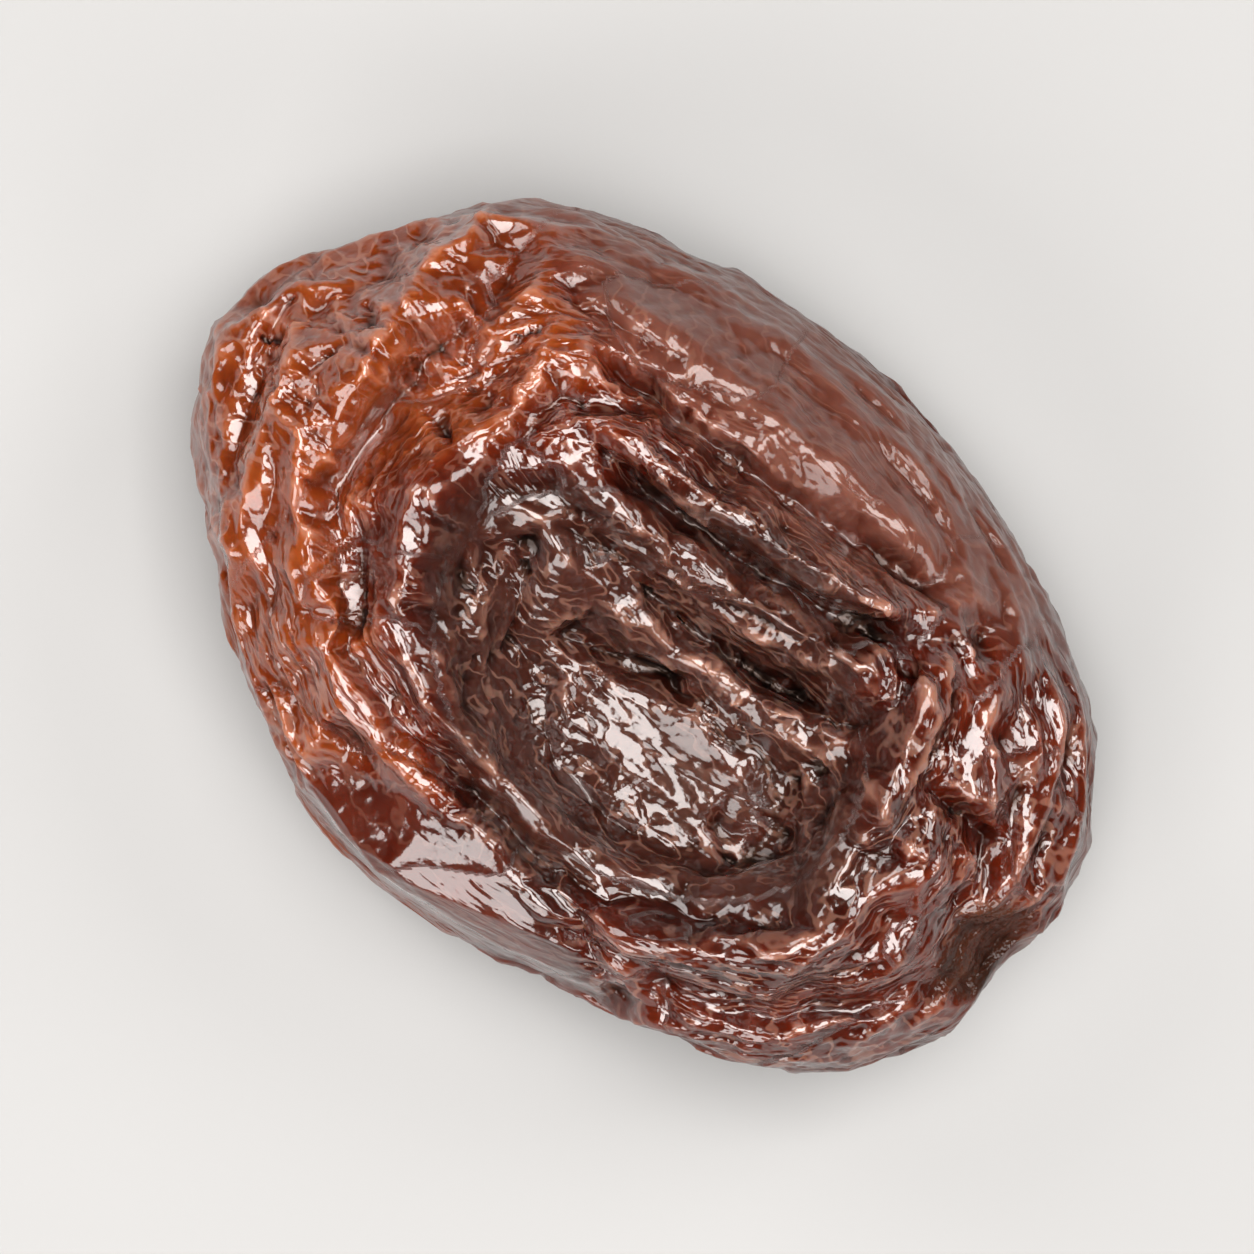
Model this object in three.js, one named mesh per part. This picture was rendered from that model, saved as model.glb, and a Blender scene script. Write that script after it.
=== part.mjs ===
// Dried, pitted sweet cherry, lying flat with its pit hollow up.
// Millimetres, +Z up. X runs along the fruit towards the stem scar, and the origin is under the middle
// of its outline.
//
// The shape follows what drying does. The flesh shrinks to a low cushion with a raised rim, a deep pit hollow
// and broad folds. The skin keeps more of its fresh size than the flesh does, so it buckles into wrinkles.
// Both stages work on one closed ball of triangles, so the result is a single closed solid.

import * as THREE from 'three';
import { mergeVertices } from 'three/addons/utils/BufferGeometryUtils.js';
import { SimplexNoise } from 'three/addons/math/SimplexNoise.js';

const { clamp, degToRad, lerp, radToDeg, smoothstep } = THREE.MathUtils;

// Driving dimensions of the flesh
const LENGTH = 21.8;
const WIDTH = 15.0;
const EQUATOR_HEIGHT = 3.6; // height of the widest outline above the base
const RIM_HEIGHT = 8.7; // height that the cushion would reach without its hollow
const SIDE_FULLNESS = 2.25; // exponent of the superellipse that rounds the sides, 2 being an ellipse
const BASE_CLEARANCE = 0.18; // all that is lower is pressed flat by the fruit's own weight
const BALL_DETAIL = 23; // edge divisions of the icosahedron, less one
const POLE_CROWDING = 0.08; // moves rings of triangles from the thin sides to the wide faces
const TOP_CROWDING = 0.16; // moves rings of triangles from the underside to the upper side

// Soft corners of the outline, seen from above: where each is, how far it stands out, and how wide it is
const OUTLINE_CORNERS = [
  { degrees: -175, out: 0.3, spread: 13 },
  { degrees: -150, out: -0.3, spread: 14 },
  { degrees: -104, out: 0.25, spread: 18 },
  { degrees: -57, out: -0.3, spread: 16 },
  { degrees: -28, out: 0.2, spread: 13 },
  { degrees: 2, out: -0.2, spread: 12 },
  { degrees: 27, out: 0.15, spread: 14 },
  { degrees: 142, out: 0.2, spread: 11 },
  { degrees: 163, out: -0.35, spread: 10 },
];

// The pit hollow, whose floor lies nearer to one side, so that the opposite wall is long and gentle
const HOLLOW_DEPTH = 3.0;
const HOLLOW_FLOOR = { x: 2.0, y: -1.9, halfLength: 2.6, halfWidth: 1.4 };
const HOLLOW_RIM = { x: 0.9, y: -0.5, halfLength: 6.6, halfWidth: 5.2 };

// Rings round the hollow, as ellipses seen from above. Each holds between two angles and fades at its ends.
const RINGS = [
  { x: 0.5, y: -0.5, halfLength: 5.7, halfWidth: 3.9, height: 0.55, width: 0.5, from: 165, to: 395 },
  { x: 0.3, y: -0.3, halfLength: 7.0, halfWidth: 4.9, height: -0.55, width: 0.55, from: 140, to: 330 },
  { x: 0.0, y: 0.0, halfLength: 8.4, halfWidth: 5.6, height: 0.3, width: 0.5, from: 130, to: 320 },
];
const RING_FADE = 25; // degrees

// Folds and creases on the upper side, each an arc from one point to another that bows sideways
const FOLDS = [
  { from: [-5.0, 5.0], to: [3.6, 5.3], bow: 0.2, height: 0.45, width: 0.4 },
  { from: [-4.6, 3.8], to: [4.0, 4.9], bow: -0.25, height: -0.7, width: 0.36 },
  { from: [-3.6, 2.7], to: [4.4, 4.1], bow: -0.3, height: 0.7, width: 0.34 },
  { from: [-2.8, 2.3], to: [4.0, 3.2], bow: -0.15, height: -0.7, width: 0.3 },
  { from: [-3.0, 1.6], to: [4.6, 2.5], bow: -0.2, height: 0.85, width: 0.45 },
  { from: [-0.6, 0.7], to: [4.6, 1.5], bow: -0.2, height: -0.6, width: 0.3 },
  { from: [-3.4, 0.2], to: [4.4, 0.8], bow: -0.3, height: 0.8, width: 0.42 },
  { from: [-1.6, -1.1], to: [2.4, 0.1], bow: -0.15, height: -0.5, width: 0.32 },
  { from: [5.1, 3.6], to: [6.1, 0.0], bow: 0.25, height: 0.6, width: 0.45 },
  { from: [3.2, -5.2], to: [7.6, -2.0], bow: -0.4, height: 0.45, width: 0.4 },
  { from: [4.4, -5.6], to: [8.8, -2.6], bow: -0.4, height: -0.5, width: 0.35 },
  { from: [6.2, -5.8], to: [9.6, -3.2], bow: -0.3, height: 0.3, width: 0.35 },
  { from: [-9.4, -0.2], to: [-7.2, -4.8], bow: -0.4, height: 0.45, width: 0.38 },
  { from: [-10.2, 0.3], to: [-8.4, -3.4], bow: -0.2, height: -0.4, width: 0.3 },
  { from: [-8.4, 4.4], to: [-7.8, -0.6], bow: -0.3, height: 0.6, width: 0.42 },
  { from: [-7.0, 4.4], to: [-6.8, -2.4], bow: -0.3, height: -0.4, width: 0.42 },
  { from: [6.6, 1.5], to: [9.0, 0.9], bow: 0.3, height: -0.7, width: 0.32 },
  { from: [7.2, 0.6], to: [8.6, -1.6], bow: 0.3, height: 0.45, width: 0.5 },
];

// Creases drawn into the underside and the flanks, which lie by chance but the same in every build
const UNDER_CREASES = { count: 15, nearest: 2.6, farthest: 7.8, shortest: 2.5, longest: 6.5 };
const UNDER_CREASE_FORM = { depth: 0.6, width: 0.42, bow: 0.5, turn: 0.9 };
const FLANK_CREASES = { count: 15, depth: 0.42, width: 0.5, lean: 1.0, low: 0.4, high: 3.4 };

// Two flat facets of taut skin outside the rim, which meet in a ridge and slope outwards and away from it
const FACETS = { fromX: -3.3, ridgeX: -0.8, toX: 4.6, y: -6.5, z: 6.7, innerY: -5.4, taper: 0.16 };
const FACET_SLOPES = { outward: 0.6, left: 0.28, right: 0.1 };

// Patches where the skin was pulled smooth before it set, as ellipses seen from above
const TAUT_PATCHES = [
  { x: 0.6, y: -6.9, halfLength: 4.0, halfWidth: 1.4, share: 0.9 },
  { x: 1.0, y: 6.3, halfLength: 8.5, halfWidth: 1.5, share: 0.6 },
  { x: 2.2, y: -1.9, halfLength: 2.6, halfWidth: 1.4, share: 0.75 },
];

// The stem scar, a dark dent at the blunt end with a crease round its inner side
const SCAR = { x: 9.7, y: -0.4, radius: 1.25, depth: 0.75, inwardShare: 0.6 };

// How much longer than the flesh the skin is, on the way across its wrinkles
const EXCESS_IN_HOLLOW = 0.15;
const EXCESS_ON_RIM = 0.1;
const EXCESS_UNEVENNESS = 0.35;
const EXCESS_PATCH = 3.0;
const EXCESS_ALONG = 0.4; // the share of that excess which lies along the wrinkles round the hollow

// How the skin settles
const DRYING_STEPS = 700;
const DRYING_PACE = 1.4; // the skin has all its excess after 1 / 1.4 of the steps, and then comes to rest
const STEP_SIZE = 0.5;
const DAMPING = 0.8;
const STRETCH = 0.5; // stiffness of the skin against stretching
const BENDING = 0.12; // stiffness against bending
const SUCTION = 0.02; // how firmly the flesh holds the skin where it lifts
const GRIP = 0.03; // how firmly it keeps the skin from sliding
const FLESH_FIRMNESS = 4; // how much harder the flesh resists a skin that is pushed in

// Uneven flesh, and the faint waviness that the wrinkles grow from
const LUMP = { height: 0.15, size: 2.2 };
const STIR = { height: 0.06, length: 1.43, across: 0.77 };

// Every run draws the same numbers from 0 to 1 for the same seed.
function randomFrom(seed) {
  let state = seed;
  return () => {
    state = (state * 16807) % 2147483647;
    return state / 2147483647;
  };
}

const noise = new SimplexNoise({ random: randomFrom(41) });

function bell(distance, width) {
  return Math.exp(-((distance / width) ** 2));
}

// The shortest turn between two angles in degrees, without sign.
function degreesApart(a, b) {
  return Math.abs(((a - b + 540) % 360) - 180);
}

function outlineRadius(angle) {
  const ellipse = 1 / Math.hypot(Math.cos(angle) / (LENGTH / 2), Math.sin(angle) / (WIDTH / 2));
  return OUTLINE_CORNERS.reduce((radius, corner) => {
    const turn = degreesApart(radToDeg(angle), corner.degrees);
    return radius + corner.out * bell(turn, corner.spread);
  }, ellipse);
}

// How far across an ellipse a point lies: 0 in its middle and 1 on it
function reachOf(ellipse, x, y) {
  return Math.hypot((x - ellipse.x) / ellipse.halfLength, (y - ellipse.y) / ellipse.halfWidth);
}

// 0 on the edge of the hollow's floor and 1 on its rim, found by halving the range that holds it
function hollowReach(x, y) {
  let near = 0;
  let far = 1;
  while (far - near > 0.001) {
    const share = (near + far) / 2;
    const between = {
      x: lerp(HOLLOW_FLOOR.x, HOLLOW_RIM.x, share),
      y: lerp(HOLLOW_FLOOR.y, HOLLOW_RIM.y, share),
      halfLength: lerp(HOLLOW_FLOOR.halfLength, HOLLOW_RIM.halfLength, share),
      halfWidth: lerp(HOLLOW_FLOOR.halfWidth, HOLLOW_RIM.halfWidth, share),
    };
    if (reachOf(between, x, y) > 1) near = share;
    else far = share;
  }
  return (near + far) / 2;
}

function hollowDepth(x, y) {
  return HOLLOW_DEPTH * (1 - smoothstep(hollowReach(x, y), 0, 1));
}

function ringHeight(ring, x, y) {
  const dx = (x - ring.x) / ring.halfLength;
  const dy = (y - ring.y) / ring.halfWidth;
  const away = (Math.hypot(dx, dy) - 1) * Math.min(ring.halfLength, ring.halfWidth);
  const halfSpan = (ring.to - ring.from) / 2;
  const turn = degreesApart(radToDeg(Math.atan2(dy, dx)), (ring.from + ring.to) / 2);
  return ring.height * bell(away, ring.width) * (1 - smoothstep(turn, halfSpan - RING_FADE, halfSpan));
}

function foldHeight(fold, x, y) {
  const alongX = fold.to[0] - fold.from[0];
  const alongY = fold.to[1] - fold.from[1];
  const length = Math.hypot(alongX, alongY);
  const dx = x - fold.from[0];
  const dy = y - fold.from[1];
  const along = (dx * alongX + dy * alongY) / length ** 2;
  const side = (dy * alongX - dx * alongY) / length;
  const away = side - fold.bow * 4 * along * (1 - along);
  const fade = smoothstep(along, -0.12, 0.15) * (1 - smoothstep(along, 0.85, 1.12));
  return fold.height * bell(away, fold.width) * fade;
}

// Creases that ring the clear middle of the underside, each a fold with a chance place, turn and length.
function makeUnderCreases() {
  const random = randomFrom(7);
  const { count, nearest, farthest, shortest, longest } = UNDER_CREASES;
  const form = UNDER_CREASE_FORM;
  return Array.from({ length: count }, (_, i) => {
    const around = (2 * Math.PI * (i + 0.6 * random())) / count;
    const out = lerp(nearest, farthest, random());
    const x = out * Math.cos(around);
    const y = out * Math.sin(around) * Math.sqrt(WIDTH / LENGTH);
    const turn = around + Math.PI / 2 + form.turn * lerp(-1, 1, random());
    const half = lerp(shortest, longest, random()) / 2;
    return {
      from: [x - half * Math.cos(turn), y - half * Math.sin(turn)],
      to: [x + half * Math.cos(turn), y + half * Math.sin(turn)],
      bow: form.bow * lerp(-1, 1, random()),
      height: form.depth * lerp(0.5, 1, random()),
      width: form.width * lerp(0.75, 1.25, random()),
    };
  });
}

// Creases that climb the flanks, each at a chance angle with a chance lean and height.
function makeFlankCreases() {
  const random = randomFrom(19);
  const creases = FLANK_CREASES;
  return Array.from({ length: creases.count }, (_, i) => ({
    angle: (2 * Math.PI * (i + 0.7 * random())) / creases.count,
    lean: creases.lean * lerp(-1, 1, random()),
    low: creases.low + 0.8 * random(),
    high: creases.high - random(),
    depth: creases.depth * lerp(0.4, 1, random()),
    width: creases.width * lerp(0.7, 1.3, random()),
  }));
}

const underCreases = makeUnderCreases();
const flankCreases = makeFlankCreases();

function flankDepth(angle, radius, z) {
  return flankCreases.reduce((depth, crease) => {
    const lean = (crease.lean * z) / radius;
    const turn = degToRad(degreesApart(radToDeg(angle), radToDeg(crease.angle + lean)));
    const start = smoothstep(z, crease.low - 0.6, crease.low + 0.6);
    const end = 1 - smoothstep(z, crease.high - 1, crease.high);
    return depth + crease.depth * bell(turn * radius, crease.width) * start * end;
  }, 0);
}

function upperRelief(x, y) {
  let relief = -hollowDepth(x, y);
  for (const ring of RINGS) relief += ringHeight(ring, x, y);
  for (const fold of FOLDS) relief += foldHeight(fold, x, y);
  return relief;
}

function withFacets(x, y, z, rise) {
  const fromRidge = x - FACETS.ridgeX;
  const fall = fromRidge < 0 ? -fromRidge * FACET_SLOPES.left : fromRidge * FACET_SLOPES.right;
  const plane = FACETS.z + (y - FACETS.y) * FACET_SLOPES.outward - fall;
  const within = smoothstep(x, FACETS.fromX - 0.6, FACETS.fromX + 0.3);
  const before = 1 - smoothstep(x, FACETS.toX - 0.6, FACETS.toX + 0.6);
  const inner = FACETS.innerY - FACETS.taper * Math.abs(fromRidge);
  const outside = smoothstep(inner - y, -0.4, 0.4) * smoothstep(rise, 0.08, 0.3);
  return lerp(z, plane, within * before * outside);
}

// Where the flesh lies under the skin point that faces this direction on the fresh, round fruit.
function fleshPoint(direction) {
  const polar = Math.acos(clamp(direction.z, -1, 1));
  const evened = polar - POLE_CROWDING * Math.sin(2 * polar) - TOP_CROWDING * Math.sin(polar);
  const angle = Math.atan2(direction.y, direction.x);
  const power = 2 / SIDE_FULLNESS;
  const cosine = Math.cos(evened);
  const rise = Math.sign(cosine) * Math.abs(cosine) ** power;
  const above = RIM_HEIGHT - EQUATOR_HEIGHT;
  const z = EQUATOR_HEIGHT + rise * (rise > 0 ? above : EQUATOR_HEIGHT + BASE_CLEARANCE);
  const top = smoothstep(rise, 0.05, 0.45);
  const under = smoothstep(-rise, 0.1, 0.5);

  const fullRadius = outlineRadius(angle) * Math.sin(evened) ** power;
  const onFlank = 1 - smoothstep(Math.abs(rise), 0.6, 0.9);
  const radius = fullRadius - onFlank * flankDepth(angle, Math.max(fullRadius, 1), z);
  const x = radius * Math.cos(angle);
  const y = radius * Math.sin(angle);
  const lump = LUMP.height * noise.noise3d(x / LUMP.size, y / LUMP.size, (2 * z) / LUMP.size);
  const scar = SCAR.depth * bell(Math.hypot(x - SCAR.x, y - SCAR.y), SCAR.radius);
  const creased = underCreases.reduce((sum, crease) => sum + foldHeight(crease, x, y), 0);
  const height = z + top * (upperRelief(x, y) - scar) + under * creased + (top - under) * lump;
  const inward = scar * (1 - top) * SCAR.inwardShare;
  return new THREE.Vector3(x - inward, y, Math.max(0, withFacets(x, y, height, rise)));
}

function makeBall() {
  const ball = new THREE.IcosahedronGeometry(1, BALL_DETAIL);
  ball.deleteAttribute('normal');
  ball.deleteAttribute('uv');
  return mergeVertices(ball, 1e-5);
}

function shapeFlesh(ball) {
  const position = ball.attributes.position;
  const point = new THREE.Vector3();
  for (let i = 0; i < position.count; i += 1) {
    point.fromBufferAttribute(position, i).normalize();
    position.setXYZ(i, ...fleshPoint(point).toArray());
  }
  ball.computeVertexNormals();
  return ball;
}

function neighboursOf(geometry) {
  const index = geometry.index.array;
  const neighbours = Array.from({ length: geometry.attributes.position.count }, () => []);
  for (let corner = 0; corner < index.length; corner += 3) {
    for (let side = 0; side < 3; side += 1) {
      neighbours[index[corner + side]].push(index[corner + ((side + 1) % 3)]);
    }
  }
  return neighbours;
}

// The part of the skin's excess that is left where the skin was pulled smooth
function slackShare(x, y, z) {
  const onTop = smoothstep(z, EQUATOR_HEIGHT - 1, EQUATOR_HEIGHT + 1.5);
  return TAUT_PATCHES.reduce((share, patch) => {
    return share * (1 - onTop * patch.share * (1 - smoothstep(reachOf(patch, x, y), 0.75, 1.25)));
  }, 1);
}

// How much longer than the flesh the skin is, from one point towards a neighbour. It is longest across the
// wrinkles that ring the hollow, and nothing at the flat base.
function excessBetween(from, to) {
  const outX = (from.x - HOLLOW_RIM.x) / HOLLOW_RIM.halfLength;
  const outY = (from.y - HOLLOW_RIM.y) / HOLLOW_RIM.halfWidth;
  const reach = Math.hypot(outX, outY);
  const round = outX * (to.y - from.y) - outY * (to.x - from.x);
  const roundShare = Math.min(1, (round / (reach * from.distanceTo(to) + 0.01)) ** 2);
  const onTop = smoothstep(from.z, EQUATOR_HEIGHT - 1, EQUATOR_HEIGHT + 1.5);
  const inHollow = onTop * (1 - smoothstep(reach, 1.1, 1.5));
  const excess = lerp(EXCESS_ON_RIM, EXCESS_IN_HOLLOW, inHollow) * smoothstep(from.z, 0, 0.5);
  const spot = from.clone().divideScalar(EXCESS_PATCH);
  const uneven = 1 + EXCESS_UNEVENNESS * noise.noise3d(spot.x, spot.y, spot.z + 7);
  return excess * uneven * slackShare(from.x, from.y, from.z) * lerp(1, EXCESS_ALONG, roundShare);
}

// Lets the skin settle over the flesh. Each edge seeks its fresh length, each point resists bending,
// and the flesh holds on to the skin. The fresh length grows step by step, so the wrinkles form slowly.
function drySkin(flesh) {
  const rest = Float64Array.from(flesh.attributes.position.array);
  const normal = Float64Array.from(flesh.attributes.normal.array);
  const neighbours = neighboursOf(flesh);
  const count = neighbours.length;
  const points = neighbours.map((_, i) => new THREE.Vector3(...rest.slice(3 * i, 3 * i + 3)));
  const restLength = neighbours.map((around, i) => around.map((j) => points[i].distanceTo(points[j])));
  const excess = neighbours.map((around, i) => around.map((j) => excessBetween(points[i], points[j])));
  const skin = Float64Array.from(rest);
  const speed = new Float64Array(3 * count);
  const bend = new Float64Array(3 * count);

  points.forEach((point, i) => {
    const wave = noise.noise3d(point.x / STIR.length, point.y / STIR.across, point.z / STIR.across);
    for (let axis = 0; axis < 3; axis += 1) skin[3 * i + axis] += STIR.height * wave * normal[3 * i + axis];
  });

  for (let step = 0; step < DRYING_STEPS; step += 1) {
    const dried = Math.min(1, (DRYING_PACE * step) / DRYING_STEPS);
    for (let i = 0; i < count; i += 1) {
      const around = neighbours[i];
      for (let axis = 0; axis < 3; axis += 1) {
        let sum = 0;
        for (const j of around) sum += skin[3 * j + axis] - rest[3 * j + axis];
        bend[3 * i + axis] = sum / around.length - (skin[3 * i + axis] - rest[3 * i + axis]);
      }
    }
    for (let i = 0; i < count; i += 1) {
      const around = neighbours[i];
      const push = [0, 0, 0];
      for (let k = 0; k < around.length; k += 1) {
        const j = around[k];
        const dx = skin[3 * j] - skin[3 * i];
        const dy = skin[3 * j + 1] - skin[3 * i + 1];
        const dz = skin[3 * j + 2] - skin[3 * i + 2];
        const length = Math.hypot(dx, dy, dz);
        const fresh = restLength[i][k] * (1 + dried * excess[i][k]);
        const pull = (STRETCH * (length - fresh)) / length;
        push[0] += pull * dx;
        push[1] += pull * dy;
        push[2] += pull * dz;
        for (let axis = 0; axis < 3; axis += 1) {
          push[axis] -= (BENDING * (bend[3 * j + axis] - bend[3 * i + axis])) / around.length;
        }
      }
      let lift = 0;
      for (let axis = 0; axis < 3; axis += 1) {
        lift += (skin[3 * i + axis] - rest[3 * i + axis]) * normal[3 * i + axis];
      }
      const hold = SUCTION * (lift < 0 ? FLESH_FIRMNESS : 1) - GRIP;
      for (let axis = 0; axis < 3; axis += 1) {
        push[axis] -= hold * lift * normal[3 * i + axis] + GRIP * (skin[3 * i + axis] - rest[3 * i + axis]);
        speed[3 * i + axis] = DAMPING * (speed[3 * i + axis] + STEP_SIZE * push[axis]);
      }
    }
    for (let n = 0; n < skin.length; n += 1) skin[n] += speed[n];
  }
  return skin;
}

// The fruit's own weight presses its lowest wrinkles flat.
function pressBase(skin) {
  for (let n = 2; n < skin.length; n += 3) skin[n] = Math.max(skin[n], 0);
}

function makeCherry() {
  const flesh = shapeFlesh(makeBall());
  const skin = drySkin(flesh);
  pressBase(skin);
  const geometry = new THREE.BufferGeometry();
  geometry.setAttribute('position', new THREE.Float32BufferAttribute(skin, 3));
  geometry.setIndex(flesh.index);
  geometry.computeBoundingBox();
  const middle = geometry.boundingBox.getCenter(new THREE.Vector3());
  geometry.translate(-middle.x, -middle.y, 0);
  geometry.computeVertexNormals();
  return geometry;
}

const driedFruit = new THREE.MeshStandardMaterial({ color: 0x5a2415, roughness: 0.32, metalness: 0 });

const cherry = new THREE.Mesh(makeCherry(), driedFruit);
cherry.name = 'cherry';

const model = new THREE.Group();
model.add(cherry);

export default model;
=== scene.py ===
"""A dried, pitted sweet cherry lying flat on a pale floor, seen from above. Lengths are in metres."""

import math
from functools import partial

import bpy
import numpy as np
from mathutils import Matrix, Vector, noise
from mathutils.bvhtree import BVHTree


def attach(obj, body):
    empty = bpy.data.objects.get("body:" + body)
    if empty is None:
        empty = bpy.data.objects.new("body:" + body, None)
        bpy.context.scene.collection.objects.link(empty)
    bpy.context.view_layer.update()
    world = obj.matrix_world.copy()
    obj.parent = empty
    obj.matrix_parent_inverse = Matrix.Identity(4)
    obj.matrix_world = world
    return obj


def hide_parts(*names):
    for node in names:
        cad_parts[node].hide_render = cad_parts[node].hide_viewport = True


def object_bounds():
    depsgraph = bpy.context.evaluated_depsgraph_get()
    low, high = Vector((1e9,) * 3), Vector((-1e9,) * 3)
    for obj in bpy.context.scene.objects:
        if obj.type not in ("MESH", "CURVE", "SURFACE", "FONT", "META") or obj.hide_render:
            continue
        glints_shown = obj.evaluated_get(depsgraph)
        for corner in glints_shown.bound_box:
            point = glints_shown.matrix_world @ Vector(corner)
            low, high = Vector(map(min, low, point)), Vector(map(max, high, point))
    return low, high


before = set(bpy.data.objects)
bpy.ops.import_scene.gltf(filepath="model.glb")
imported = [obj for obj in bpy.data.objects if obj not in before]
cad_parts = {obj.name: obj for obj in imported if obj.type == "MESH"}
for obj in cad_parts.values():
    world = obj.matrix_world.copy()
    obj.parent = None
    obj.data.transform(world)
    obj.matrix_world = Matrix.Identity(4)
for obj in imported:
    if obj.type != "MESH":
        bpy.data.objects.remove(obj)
cad_low, cad_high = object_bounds()

MM = 0.001

# The camera looks straight down, and the fruit's long axis points to the lower right, as in the photograph.
LONG_AXIS_TURN = math.radians(41)
LENS_MM = 250
SENSOR_MM = 36
FRAME_WIDTH = 27 * MM  # what the picture's side covers at the fruit's middle height

# Ovals seen from above, in millimetres along the fruit's own X and Y: the middle, half the length and half
# the width. The hollow is where the pit was. The smooth rim was pulled tight, and the frosted rim has a bloom
# that is lightened with painted sheen.
HOLLOW = (1.3, -0.8, 6.0, 4.4)
HOLLOW_FLOOR = (2.5, -1.7, 2.2, 1.1)
SMOOTH_RIM = (1.5, 6.2, 8.5, 1.9)
FROST_AND_SHEEN_RIM = (-0.6, 6.2, 7.8, 2.4)
MAUVE_BAND = (-4.9, -0.9, 0.8, 2.0)
TAUT_FACETS = (0.9, -6.9, 4.2, 1.5)

# Other landmarks, in millimetres along the fruit's own X, Y and Z
OUTLINE_RATIO = 1.42  # the outline's length over its width
WAIST_HEIGHT = 3.6
SCAR = (10.2, -0.3, 5.0)
SCAR_HALF_SIZE = (1.04, 1.69, 2.86)
AMBER_SIDE = math.radians(210)  # the way from the middle to the side that glows most
LEAST_AMBER = 0.48  # the share of that glow on the other side
CREST_SPAN = 0.3  # from the deepest fine groove to the highest fine crest

# A sharp crease ends the bright facet beside the rim, and a deep groove parts it from the rings.
CREASE_END = (4.2, -5.75)
CREASE_OUTWARD = (0.33, -0.944)
CREASE_MIDDLE = 1.6
CREASE_FALL = 1.2  # how steeply the skin falls away outside the crease
GROOVE_MIDDLE = (1.4, -5.0)
GROOVE_HALF_LENGTH = 3.2
GROOVE_HALF_WIDTH = 0.38
GROOVE_LEAN = 0.55  # how far its right end lies below its middle, as seen from above
GROOVE_DEPTH = 0.45

# The skin is wrinkled by cloth at this many times its size, because cloth works best near a metre or two.
CLOTH_SCALE = 100


def linear(hex_colour):
    """A colour written as sRGB hex, as the four linear numbers that shaders take."""
    channels = [int(hex_colour[i : i + 2], 16) / 255 for i in (1, 3, 5)]
    return [c / 12.92 if c <= 0.04045 else ((c + 0.055) / 1.055) ** 2.4 for c in channels] + [1.0]


def select_only(obj):
    bpy.ops.object.select_all(action="DESELECT")
    obj.select_set(True)
    bpy.context.view_layer.objects.active = obj


def vectors_of(elements, field):
    values = np.empty(len(elements) * 3, np.float32)
    elements.foreach_get(field, values)
    return values.reshape(-1, 3).astype(float)


def points_of(skin):
    """The skin's points in millimetres."""
    return vectors_of(skin.data.vertices, "co") / MM


def normals_of(skin):
    return vectors_of(skin.data.vertices, "normal")


def move_points(skin, points):
    skin.data.vertices.foreach_set("co", (points * MM).astype(np.float32).ravel())
    skin.data.update()


def smoothstep(low, high, value):
    t = np.clip((value - low) / (high - low), 0, 1)
    return t * t * (3 - 2 * t)


def patches(points, size, seed):
    """Smooth noise from 0 to 1 at each point, in patches of this size."""
    shift = Vector((seed * 7.3, seed * 3.1, seed * 5.7))
    return np.array([0.5 + 0.5 * noise.noise(Vector(p) / size + shift) for p in points])


def oval_reach(points, oval):
    """0 in the middle of an oval seen from above, and 1 at its edge."""
    x, y, half_length, half_width = oval
    return np.hypot((points[:, 0] - x) / half_length, (points[:, 1] - y) / half_width)


def on_top(points):
    return smoothstep(WAIST_HEIGHT - 0.5, WAIST_HEIGHT + 1.5, points[:, 2])


def in_oval(points, oval, inner, outer):
    """1 on top of the fruit within an oval's inner reach, falling to 0 at its outer reach."""
    return on_top(points) * (1 - smoothstep(inner, outer, oval_reach(points, oval)))


def inside_share(points):
    """1 in the pit hollow and 0 outside its rim and below it."""
    below = 1 - smoothstep(3.0, 4.5, points[:, 2])
    return 1 - smoothstep(0.7, 1.0, oval_reach(points, HOLLOW) + below)


def taut_share(points):
    """1 on the two flat facets beside the rim."""
    return in_oval(points, TAUT_FACETS, 0.8, 1.15)


def slack_map(points):
    """How loose the skin is: nothing at the flat base, little where it was pulled smooth, all elsewhere."""
    base = 1 - smoothstep(0.0, 0.35, points[:, 2])
    waist = 1 - smoothstep(0.8, 2.4, np.abs(points[:, 2] - WAIST_HEIGHT))
    slack = (1 - 0.72 * taut_share(points)) * (1 - 0.7 * in_oval(points, SMOOTH_RIM, 0.5, 1.4))
    slack *= 1 - 0.5 * in_oval(points, MAUVE_BAND, 0.6, 1.3)
    hollow = 1 - 0.1 * in_oval(points, HOLLOW, 0.9, 1.2)
    slack *= hollow * (1 - 0.5 * in_oval(points, HOLLOW_FLOOR, 0.7, 1.2))
    return slack * (1 - base) * (1 - 0.2 * waist)


def patchy_slack(points, size, seed, least=0.3, low=0.4, high=0.55):
    """The slack in patches of this size, with only its least share between them.

    The patches end where their noise lies between low and high.
    """
    return slack_map(points) * (least + (1 - least) * smoothstep(low, high, patches(points, size, seed)))


def around_and_out(points):
    """Where each point lies round the fruit and away from its middle, in a space where the outline is level.

    The first two of the three numbers go round. The third goes outwards, down the flank and inwards below.
    """
    spin = np.arctan2(points[:, 1] * OUTLINE_RATIO, points[:, 0])
    out = np.hypot(points[:, 0] / OUTLINE_RATIO**0.5, points[:, 1] * OUTLINE_RATIO**0.5) - points[:, 2]
    return np.stack([6 * np.cos(spin), 6 * np.sin(spin), out], axis=1)


def turned_share(points, seed):
    """Where the wrinkles run outwards: at the far end, and in patches elsewhere."""
    far_end = smoothstep(-5.5, -8.5, points[:, 0])
    return np.clip(smoothstep(0.5, 0.62, patches(points, 3.2, seed)) + far_end, 0, 1)


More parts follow.
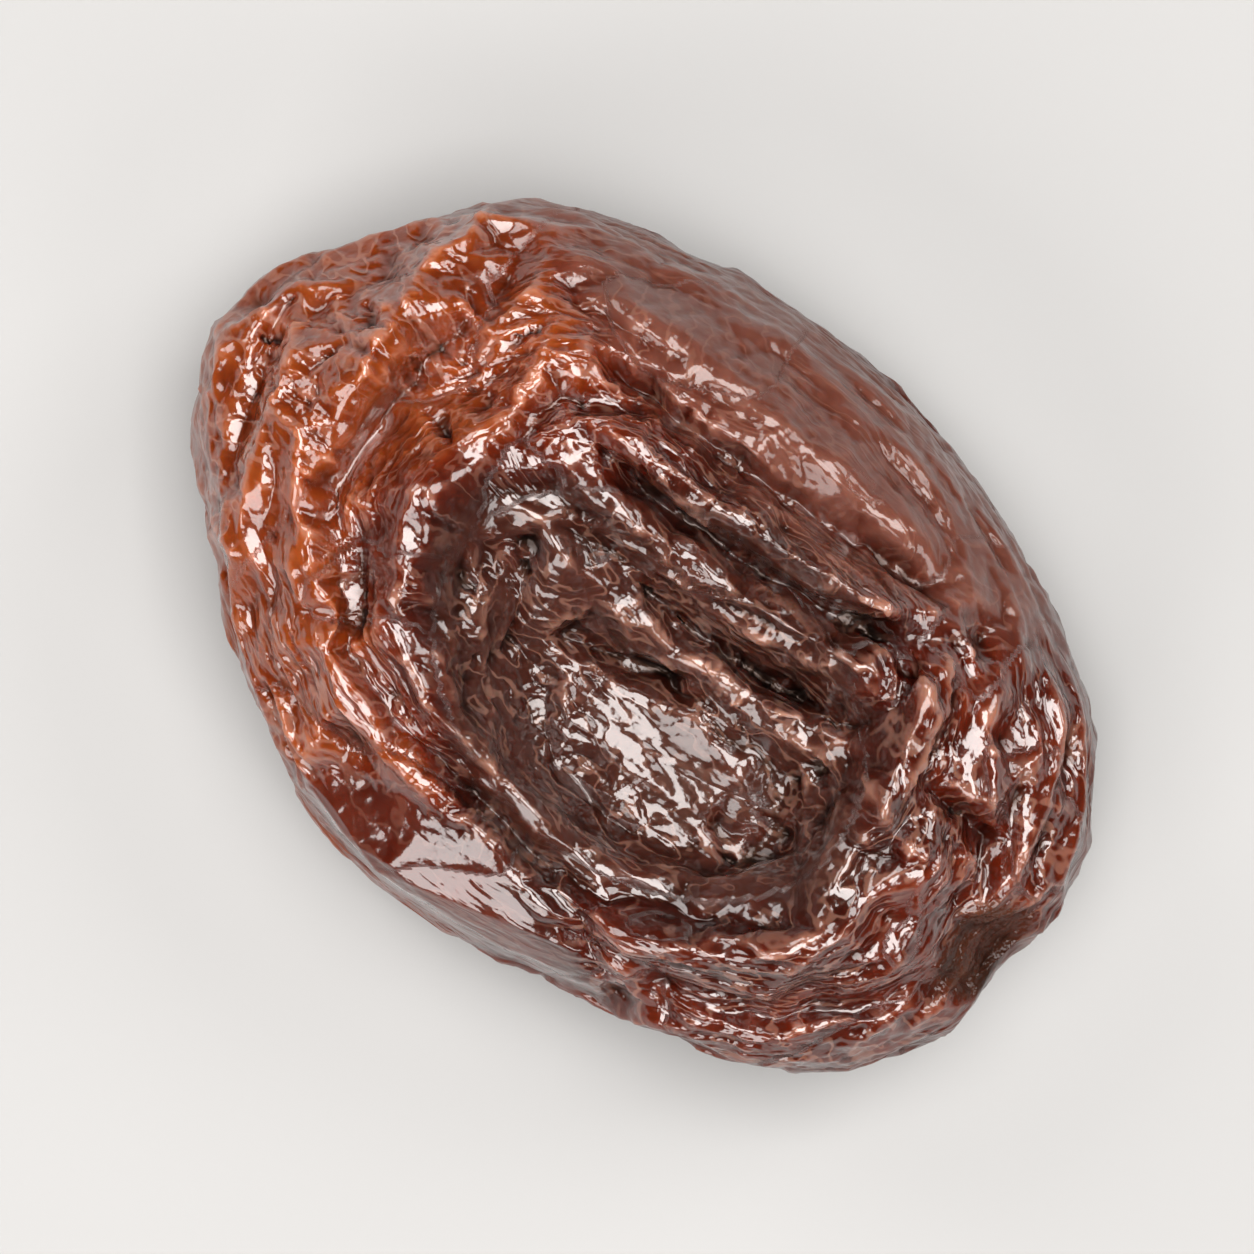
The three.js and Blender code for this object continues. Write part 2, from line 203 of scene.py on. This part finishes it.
def copy_of_node(name, new_name):
    """A separate, welded copy of a solid, ready for modelling."""
    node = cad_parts[name]
    skin = bpy.data.objects.new(new_name, node.data.copy())
    bpy.context.scene.collection.objects.link(skin)
    select_only(skin)
    bpy.ops.object.mode_set(mode="EDIT")
    bpy.ops.mesh.select_all(action="SELECT")
    bpy.ops.mesh.remove_doubles(threshold=0.002 * MM)
    bpy.ops.mesh.customdata_custom_splitnormals_clear()
    bpy.ops.object.mode_set(mode="OBJECT")
    return skin


def refine(skin):
    """Four triangles for each one, laid on the smooth surface through the old ones."""
    select_only(skin)
    bpy.ops.object.mode_set(mode="EDIT")
    bpy.ops.mesh.select_all(action="SELECT")
    bpy.ops.mesh.subdivide(number_cuts=1, smoothness=1.0)
    bpy.ops.object.mode_set(mode="OBJECT")


def resize_mesh(skin, factor):
    select_only(skin)
    skin.scale = (factor,) * 3
    bpy.ops.object.transform_apply(location=False, rotation=False, scale=True)


def edge_ends(skin):
    ends = np.empty(len(skin.data.edges) * 2, np.int32)
    skin.data.edges.foreach_get("vertices", ends)
    return ends.reshape(-1, 2).T


def evened(skin, rounds):
    """The skin's points after rounds in which each goes half way to the middle of its neighbours."""
    start, end = edge_ends(skin)
    even = points_of(skin)
    count = np.bincount(np.concatenate([start, end]), minlength=len(even))
    for _ in range(rounds):
        total = np.empty_like(even)
        for axis in range(3):
            total[:, axis] = np.bincount(start, even[end, axis], len(even))
            total[:, axis] += np.bincount(end, even[start, axis], len(even))
        even = 0.5 * even + 0.5 * total / count[:, None]
    return even


def crest_height(skin, rounds):
    """How far each point stands out of the surface evened by these rounds, in millimetres."""
    return ((points_of(skin) - evened(skin, rounds)) * normals_of(skin)).sum(axis=1)


def wrinkle(skin, slack, growth, hold, bending, frames):
    """Grows the skin over flesh that holds on to it, so that it buckles, as when the fruit under it dries.

    slack says how much of the growth each point gets. A firmer hold and a softer bend make finer wrinkles.
    """
    steady = skin.vertex_groups.new(name="held by the flesh")
    steady.add(range(len(skin.data.vertices)), hold, "REPLACE")
    taut = skin.vertex_groups.new(name="taut skin")
    for i, share in enumerate(slack):
        taut.add([i], float(1 - share), "REPLACE")
    resize_mesh(skin, CLOTH_SCALE)
    bpy.ops.object.modifier_add(type="CLOTH")
    cloth = skin.modifiers[-1]
    stuff = cloth.settings
    stuff.quality = 5
    stuff.mass = 0.3
    stuff.tension_stiffness = stuff.compression_stiffness = 15
    stuff.shear_stiffness = 5
    stuff.bending_stiffness = bending
    stuff.vertex_group_mass = steady.name
    stuff.pin_stiffness = 1.0
    stuff.vertex_group_shrink = taut.name
    stuff.shrink_min = -growth
    stuff.shrink_max = 0
    stuff.effector_weights.gravity = 0
    cloth.collision_settings.use_collision = False
    cloth.point_cache.frame_end = frames + 1
    for frame_number in range(1, frames + 1):
        bpy.context.scene.frame_set(frame_number)
    bpy.ops.object.modifier_apply(modifier=cloth.name)
    bpy.context.scene.frame_set(1)
    skin.vertex_groups.clear()
    resize_mesh(skin, 1 / CLOTH_SCALE)


def flatten_crests(skin, share, least=0.03, most=0.3):
    """Presses this share of the crests' height down, above the least height, so that they get broad tops."""
    over = np.clip(crest_height(skin, 25) - least, 0, most)
    move_points(skin, points_of(skin) - (share * over)[:, None] * normals_of(skin))


def facet_depth(places, sizes, seed):
    """How far each point lies from the nearest crest of a skin crumpled into facets, in facet sizes."""
    shift = Vector((seed * 5.1, seed * 2.3, seed * 8.9))
    steps = [Vector(step) for step in ((0, 0, 0), (17, 3, 5), (7, 29, 11))]
    depths = np.empty(len(places))
    for i, place in enumerate(places / np.array(sizes)):
        spot = Vector(place) + shift
        spot += 0.5 * Vector([noise.noise(0.8 * spot + step) for step in steps])
        _, centres = noise.voronoi(spot)
        nearest, second = centres[0], centres[1]
        depths[i] = ((nearest + second) / 2 - spot).dot((second - nearest).normalized())
    return depths


def crumple(skin, slack, size, slope, seed):
    """Presses facets of this size in millimetres into the skin, and leaves sharp crests between them."""
    points = points_of(skin)
    places = around_and_out(points)
    turned = turned_share(points, seed)
    level = facet_depth(places, (2.2 * size, 2.2 * size, size), seed)
    outward = facet_depth(places, (size, size, 2.2 * size), seed + 1)
    along_folds = facet_depth(points, (1.8 * size, size, size), seed + 2)
    inside = inside_share(points)
    depths = (level * (1 - turned) + outward * turned) * (1 - inside) + along_folds * inside
    move_points(skin, points + (slack * slope * size * (0.2 - depths))[:, None] * normals_of(skin))


def press_flat(skin, share, ratio):
    """Draws the skin onto a coarser copy, whose flat facets meet along the skin's main crests and grooves.

    share says how far each point goes, and ratio is the share of the skin's triangles that the copy keeps.
    """
    coarse = skin.copy()
    coarse.data = skin.data.copy()
    bpy.context.scene.collection.objects.link(coarse)
    select_only(coarse)
    bpy.ops.object.modifier_add(type="DECIMATE")
    coarse.modifiers[-1].ratio = ratio
    bpy.ops.object.modifier_apply(modifier=coarse.modifiers[-1].name)
    corners = points_of(coarse)
    faces = BVHTree.FromPolygons(corners.tolist(), [list(face.vertices) for face in coarse.data.polygons])
    bpy.data.objects.remove(coarse)
    points = points_of(skin)
    pressed = np.array([faces.find_nearest(Vector(p))[0] for p in points])
    move_points(skin, points + share[:, None] * (pressed - points))


def below_crease(points):
    """How far each point lies outside the sharp crease that ends the bright facet, in millimetres."""
    beyond = CREASE_OUTWARD[0] * (points[:, 0] - CREASE_END[0])
    beyond += CREASE_OUTWARD[1] * (points[:, 1] - CREASE_END[1])
    beside = 1 - smoothstep(3.2, 4.4, np.abs(points[:, 0] - CREASE_MIDDLE))
    return np.maximum(beyond, 0) * beside * smoothstep(3.4, 5.4, points[:, 2])


def in_groove(points):
    """1 along the deep groove between the bright facet and the rings round the hollow."""
    along = (points[:, 0] - GROOVE_MIDDLE[0]) / GROOVE_HALF_LENGTH
    across = (points[:, 1] - GROOVE_MIDDLE[1] + GROOVE_LEAN * along) / GROOVE_HALF_WIDTH
    return on_top(points) * np.exp(-(across**2)) * (1 - smoothstep(0.7, 1.1, np.abs(along)))


def crossing_corners(skin):
    """The points of the triangles that pass through others."""
    corners = np.empty(len(skin.data.polygons) * 3, np.int32)
    skin.data.polygons.foreach_get("vertices", corners)
    corners = corners.reshape(-1, 3)
    tree = BVHTree.FromPolygons(points_of(skin).tolist(), corners.tolist())
    first, second = np.array(tree.overlap(tree), np.int64).reshape(-1, 2).T
    apart = ~(corners[first][:, :, None] == corners[second][:, None, :]).any(axis=(1, 2))
    return np.unique(corners[first[apart]])


def untangle(skin, rounds):
    """Evens the few places where a fold passes through its neighbour."""
    start, end = edge_ends(skin)
    for _ in range(rounds):
        crossing = crossing_corners(skin)
        if len(crossing) == 0:
            return
        points = points_of(skin)
        tangled = np.zeros(len(points), bool)
        tangled[crossing] = True
        for _ in range(2):
            near = tangled[start] | tangled[end]
            tangled[start[near]] = True
            tangled[end[near]] = True
        points[tangled] = evened(skin, 6)[tangled]
        move_points(skin, points)


def make_skin():
    """The solid's skin at a finer mesh, wrinkled by cloth and then pressed into finer and finer facets."""
    skin = copy_of_node("cherry", "wrinkled_skin")
    refine(skin)
    points = points_of(skin)
    slack = patchy_slack(points, size=2.6, seed=1, low=0.35, high=0.6)
    wrinkle(skin, slack * (1 - 0.8 * inside_share(points)), growth=0.05, hold=0.5, bending=0.5, frames=16)
    flatten_crests(skin, 0.4 + 0.4 * inside_share(points_of(skin)))
    untangle(skin, rounds=6)
    refine(skin)
    slack = patchy_slack(points_of(skin), size=2.2, seed=6, low=0.35)
    crumple(skin, slack, size=1.5, slope=0.45, seed=3)
    points = points_of(skin)
    press_flat(skin, np.maximum(slack_map(points), taut_share(points)), ratio=0.018)
    points = points_of(skin)
    points[:, 2] -= CREASE_FALL * below_crease(points) + GROOVE_DEPTH * in_groove(points)
    move_points(skin, points)
    crumple(skin, patchy_slack(points, size=1.5, seed=9, least=0.2), size=0.8, slope=0.45, seed=8)
    crumple(skin, patchy_slack(points_of(skin), size=1.3, seed=4), size=0.42, slope=0.3, seed=5)
    untangle(skin, rounds=8)
    points = points_of(skin)
    points[:, 2] = np.maximum(points[:, 2], 0)
    move_points(skin, points)
    return skin


def fold_places(points):
    """Places measured in fine wrinkles, which run level, outwards in patches and lengthways in the hollow."""
    around = around_and_out(points)
    places = around / np.array((1.3, 1.3, 0.42))
    turned = turned_share(points, 5) > 0.5
    places[turned] = 40 + around[turned] / np.array((0.5, 0.5, 1.4))
    inside = inside_share(points) > 0.5
    places[inside] = 80 + points[inside] / np.array((1.2, 0.5, 0.5))
    return places


def mark(skin, name, values, kind="FLOAT", field="value"):
    """Stores a number or a place at each point, for the material."""
    layer = skin.data.attributes.new(name, kind, "POINT")
    layer.data.foreach_set(field, np.asarray(values, np.float32).ravel())


def paint_marks(skin):
    """Marks where the skin is thin, frosted with painted sheen, scarred, raised, loose and glossy, and how
    its wrinkles run.
    """
    points = points_of(skin)
    top = smoothstep(3.0, 4.5, points[:, 2])
    uneven = patches(points, 2.4, 3) - 0.5
    reach = oval_reach(points, HOLLOW) + 1.5 * (1 - top) + 0.5 * uneven
    toward = points[:, 0] * math.cos(AMBER_SIDE) + points[:, 1] * math.sin(AMBER_SIDE)
    toward /= np.maximum(np.hypot(points[:, 0], points[:, 1]), 6)
    amber = (LEAST_AMBER + (1 - LEAST_AMBER) * smoothstep(-0.3, 0.7, toward)) * (1 - 0.5 * taut_share(points))
    mark(skin, "thinness", smoothstep(0.75, 1.35, reach) * amber)
    # The frosted rim, and more faintly the hollow, get a lighter mauve that is partly bloom and partly
    # painted sheen.
    rim = top * (1 - smoothstep(0.6, 1.2, oval_reach(points, FROST_AND_SHEEN_RIM) + 0.6 * uneven))
    hollow = top * (1 - smoothstep(0.7, 1.1, reach))
    mark(skin, "bloom", np.clip(rim + 0.25 * hollow, 0, 1))
    away = np.linalg.norm((points - np.array(SCAR)) / np.array(SCAR_HALF_SIZE), axis=1)
    mark(skin, "scar", 1 - smoothstep(0.55, 1.05, away + 0.5 * (patches(points, 0.7, 4) - 0.5)))
    # The crests' height, which sets the painted shade in the grooves and the pale, partly painted-highlight
    # crests.
    mark(skin, "crest", 0.5 + crest_height(skin, 10) / CREST_SPAN)
    # The wrinkles fade out where their direction changes.
    seams = np.abs(2 * turned_share(points, 5) - 1) * np.abs(2 * inside_share(points) - 1)
    loose = slack_map(points) * seams
    mark(skin, "slack", loose)
    # Where painted highlight lines may show along the fine crests: on top, in loose skin.
    mark(skin, "crackle", on_top(points) * loose)
    mark(skin, "film", 0.55 + 0.45 * smoothstep(4.2, 6.0, points[:, 2]))
    mark(skin, "fold_place", fold_places(points), kind="FLOAT_VECTOR", field="vector")


def add_node(material, kind, settings=None, links=None):
    """Adds a shader node. settings are its properties, its unlinked inputs and, for a colour ramp, its stops.

    links maps its linked inputs to the outputs that they take.
    """
    node = material.node_tree.nodes.new(kind)
    for name, value in (settings or {}).items():
        if name == "stops":
            for _ in value[2:]:
                node.color_ramp.elements.new(0.5)
            for element, (position, colour) in zip(node.color_ramp.elements, value):
                element.position = position
                element.color = linear(colour)
        elif isinstance(name, int) or name in node.inputs:
            node.inputs[name].default_value = value
        else:
            setattr(node, name, value)
    for name, source in (links or {}).items():
        material.node_tree.links.new(source, node.inputs[name])
    return node


def dried_cherry_skin():
    """Dried cherry skin, cured in its own syrup: a tight glossy film over dark jelly, amber where it is thin.

    The film has a sharp gloss on its crests and little in its grooves, which are darkened with painted shade.
    Its crests are painted pale, partly as stretched skin and partly as painted highlight, a mauve bloom
    lightened with painted sheen frosts the rim and the hollow, and the stem scar is dull, brown and grainy.
    """
    material = bpy.data.materials.new("dried_cherry_skin")
    material.use_nodes = True
    material.node_tree.nodes.clear()
    node = partial(add_node, material)
    place = node("ShaderNodeTexCoord").outputs["Object"]
    thinness, bloom, scar, crest, slack, crackle, film = (
        node("ShaderNodeAttribute", {"attribute_name": name}).outputs["Fac"]
        for name in ("thinness", "bloom", "scar", "crest", "slack", "crackle", "film")
    )
    fold_place = node("ShaderNodeAttribute", {"attribute_name": "fold_place"}).outputs["Vector"]
    blotches = node("ShaderNodeTexNoise", {"Scale": 1 / (1.5 * MM), "Detail": 3.0}, {"Vector": place})
    mottle = blotches.outputs["Fac"]
    raised = node(
        "ShaderNodeMapRange",
        {"interpolation_type": "SMOOTHSTEP", "From Min": 0.15, "From Max": 0.5, "To Min": 0.15},
        {"Value": crest},
    ).outputs["Result"]

    # Relief: fine wrinkles with rounded crests in the looser skin, over a grain that is coarse on the scar
    bent = node(
        "ShaderNodeVectorMath",
        {"operation": "MULTIPLY_ADD", 1: (2.0,) * 3},
        {0: blotches.outputs["Color"], 2: fold_place},
    ).outputs["Vector"]
    swell = node("ShaderNodeTexNoise", {"Scale": 1.0, "Detail": 1.0}, {"Vector": bent}).outputs["Fac"]
    side = node("ShaderNodeMath", {"operation": "MULTIPLY_ADD", 1: 2.0, 2: -1.0}, {0: swell}).outputs[0]
    drop = node("ShaderNodeMath", {"operation": "MULTIPLY_ADD", 2: 0.004}, {0: side, 1: side}).outputs[0]
    drop = node("ShaderNodeMath", {"operation": "SQRT"}, {0: drop}).outputs[0]
    ridge = node("ShaderNodeMath", {"operation": "SUBTRACT", 0: 1.0}, {1: drop}).outputs[0]
    shows = node(
        "ShaderNodeMapRange",
        {"interpolation_type": "SMOOTHSTEP", "From Min": 0.35, "From Max": 0.5, "To Min": 0.4},
        {"Value": mottle},
    ).outputs["Result"]
    loose = node("ShaderNodeMath", {"operation": "MULTIPLY"}, {0: slack, 1: shows}).outputs[0]
    wrinkles = node("ShaderNodeMath", {"operation": "MULTIPLY"}, {0: ridge, 1: loose}).outputs[0]
    grain = node("ShaderNodeTexNoise", {"Scale": 1 / (0.3 * MM), "Detail": 2.0}, {"Vector": place})
    rugged = node("ShaderNodeMath", {"operation": "MULTIPLY_ADD", 1: 1.2, 2: 0.12}, {0: scar}).outputs[0]
    relief = node(
        "ShaderNodeMath",
        {"operation": "MULTIPLY_ADD"},
        {0: grain.outputs["Fac"], 1: rugged, 2: wrinkles},
    ).outputs[0]
    normal = node("ShaderNodeBump", {"Strength": 1.0, "Distance": 0.12 * MM}, {"Height": relief}).outputs[0]

    # Colour: flesh seen through thin skin, a bloom with painted sheen on what stands out, and brown bark on
    # the scar
    uneven = node("ShaderNodeMath", {"operation": "MULTIPLY_ADD", 1: 0.9, 2: -0.45}, {0: mottle}).outputs[0]
    lit = node("ShaderNodeMath", {"operation": "ADD", "use_clamp": True}, {0: thinness, 1: uneven}).outputs[0]
    flesh = node(
        "ShaderNodeValToRGB",
        {"stops": [(0.0, "#260802"), (0.35, "#451104"), (0.7, "#642107"), (1.0, "#823A10")]},
        {"Fac": lit},
    ).outputs["Color"]
    # Painted sheen: the raised skin of the rim and the hollow is lightened to mauve, partly as a real bloom.
    frost_and_sheen = node("ShaderNodeMath", {"operation": "MULTIPLY"}, {0: bloom, 1: raised}).outputs[0]
    with_frost_and_sheen = node(
        "ShaderNodeMix",
        {"data_type": "RGBA", 7: linear("#6C4338")},
        {0: frost_and_sheen, 6: flesh},
    ).outputs[2]
    bark = node("ShaderNodeValToRGB", {"stops": [(0.3, "#1C0B05"), (0.7, "#472211")]}, {"Fac": mottle})
    colour = node(
        "ShaderNodeMix",
        {"data_type": "RGBA"},
        {0: scar, 6: with_frost_and_sheen, 7: bark.outputs["Color"]},
    ).outputs[2]

    # Grooves are darkened with painted shade, and the crests of folds and fine wrinkles are painted pale,
    # partly as stretched skin and partly as painted highlight, but not on the scar
    shade = node(
        "ShaderNodeValToRGB",
        {"stops": [(0.12, "#2A0A04"), (0.45, "#B4988E"), (0.8, "#FFFFFF")]},
        {"Fac": crest},
    ).outputs["Color"]
    colour = node(
        "ShaderNodeMix",
        {"data_type": "RGBA", "blend_type": "MULTIPLY", 0: 1.0},
        {6: colour, 7: shade},
    ).outputs[2]
    # Pale crests of the folds: partly stretched skin, partly a painted highlight.
    stretched_and_glint = node(
        "ShaderNodeMapRange",
        {"interpolation_type": "SMOOTHSTEP", "From Min": 0.62, "From Max": 0.9, "To Max": 0.45},
        {"Value": crest},
    ).outputs["Result"]
    # Thin pale lines along the fine wrinkles' crests: painted highlights.
    glint_lines = node(
        "ShaderNodeMapRange",
        {"interpolation_type": "SMOOTHSTEP", "From Min": 0.895, "From Max": 0.937, "To Max": 0.27},
        {"Value": ridge},
    ).outputs["Result"]
    glints_shown = node("ShaderNodeMath", {"operation": "MULTIPLY"}, {0: crackle, 1: raised}).outputs[0]
    glint_lines = node("ShaderNodeMath", {"operation": "MULTIPLY"}, {0: glint_lines, 1: glints_shown}).outputs[0]
    pale_and_glint = node("ShaderNodeMath", {"operation": "MAXIMUM"}, {0: stretched_and_glint, 1: glint_lines}).outputs[0]
    unscarred = node("ShaderNodeMath", {"operation": "SUBTRACT", 0: 1.0}, {1: scar}).outputs[0]
    pale_and_glint = node("ShaderNodeMath", {"operation": "MULTIPLY"}, {0: pale_and_glint, 1: unscarred}).outputs[0]
    colour = node(
        "ShaderNodeMix",
        {"data_type": "RGBA", 7: linear("#A07462")},
        {0: pale_and_glint, 6: colour},
    ).outputs[2]

    # Gloss: uneven under the film, dull on the scar, and less film in grooves, on the bloom with its painted
    # sheen and on the flank
    gloss = node("ShaderNodeMath", {"operation": "MULTIPLY_ADD", 1: 0.25, 2: 0.22}, {0: mottle}).outputs[0]
    rough = node("ShaderNodeMath", {"operation": "MULTIPLY_ADD", 1: 0.35}, {0: scar, 2: gloss}).outputs[0]
    worn = node("ShaderNodeMath", {"operation": "MULTIPLY_ADD", 1: -0.5, 2: 1.0}, {0: bloom}).outputs[0]
    worn = node(
        "ShaderNodeMath",
        {"operation": "MULTIPLY_ADD", "use_clamp": True, 1: -0.7},
        {0: scar, 2: worn},
    ).outputs[0]
    coat = node("ShaderNodeMath", {"operation": "MULTIPLY"}, {0: worn, 1: raised}).outputs[0]
    coat = node("ShaderNodeMath", {"operation": "MULTIPLY"}, {0: film, 1: coat}).outputs[0]
    shader = node(
        "ShaderNodeBsdfPrincipled",
        {
            "subsurface_method": "BURLEY",
            "IOR": 1.5,
            "Specular IOR Level": 0.2,
            "Specular Tint": linear("#FFC4A4"),
            "Subsurface Weight": 0.5,
            "Subsurface Radius": (1.0, 0.3, 0.1),
            "Subsurface Scale": 0.5 * MM,
            "Coat Roughness": 0.12,
            "Coat IOR": 1.65,
        },
        {
            "Base Color": colour,
            "Roughness": rough,
            "Coat Weight": coat,
            "Normal": normal,
            "Coat Normal": normal,
        },
    )
    node("ShaderNodeOutputMaterial", links={"Surface": shader.outputs["BSDF"]})
    return material


def white_card():
    """Matt white card: uncoated paper, which spreads the light evenly and shows soft shadows."""
    material = bpy.data.materials.new("white_card")
    material.use_nodes = True
    shader = material.node_tree.nodes["Principled BSDF"]
    shader.inputs["Base Color"].default_value = linear("#949290")
    shader.inputs["Roughness"].default_value = 0.8
    return material


def pale_floor():
    bpy.ops.mesh.primitive_plane_add(size=2.0)
    floor = bpy.context.object
    floor.name = "floor"
    floor.data.materials.append(white_card())


def softbox(name, place, size, power):
    """A rectangular light that faces the fruit, with its place and size in metres and its power in watts."""
    light = bpy.data.lights.new(name, "AREA")
    light.shape = "RECTANGLE"
    light.size, light.size_y = size
    light.energy = power
    box = bpy.data.objects.new(name, light)
    bpy.context.scene.collection.objects.link(box)
    box.location = place
    box.rotation_euler = (-Vector(place)).to_track_quat("-Z", "Y").to_euler()


def studio():
    world = bpy.data.worlds.new("room")
    world.use_nodes = True
    world.node_tree.nodes["Background"].inputs["Color"].default_value = linear("#FFFFFF")
    world.node_tree.nodes["Background"].inputs["Strength"].default_value = 0.03
    bpy.context.scene.world = world
    softbox("overhead", (0.02, 0.02, 0.50), (0.38, 0.31), 4.6)
    softbox("lower_side", (0.02, -0.41, 0.28), (0.30, 0.30), 1.9)
    softbox("upper_side", (0.14, 0.36, 0.34), (0.26, 0.20), 1.2)
    softbox("far_side", (-0.38, 0.02, 0.30), (0.22, 0.24), 1.0)
    softbox("near_side", (0.38, -0.08, 0.30), (0.18, 0.22), 0.8)
    bpy.context.scene.view_settings.view_transform = "Standard"


def look_down():
    camera_data = bpy.data.cameras.new("camera")
    camera_data.lens = LENS_MM
    camera_data.sensor_width = SENSOR_MM
    camera_data.clip_start = 0.001
    camera = bpy.data.objects.new("camera", camera_data)
    bpy.context.scene.collection.objects.link(camera)
    middle = (cad_low + cad_high) / 2
    camera.location = (middle.x, middle.y, middle.z + FRAME_WIDTH * LENS_MM / SENSOR_MM)
    camera.rotation_euler = (0, 0, LONG_AXIS_TURN)
    bpy.context.scene.camera = camera


look_down()
studio()
pale_floor()
skin = make_skin()
paint_marks(skin)
skin.data.materials.clear()
skin.data.materials.append(dried_cherry_skin())
select_only(skin)
bpy.ops.object.shade_smooth()
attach(skin, "root")
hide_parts("cherry")
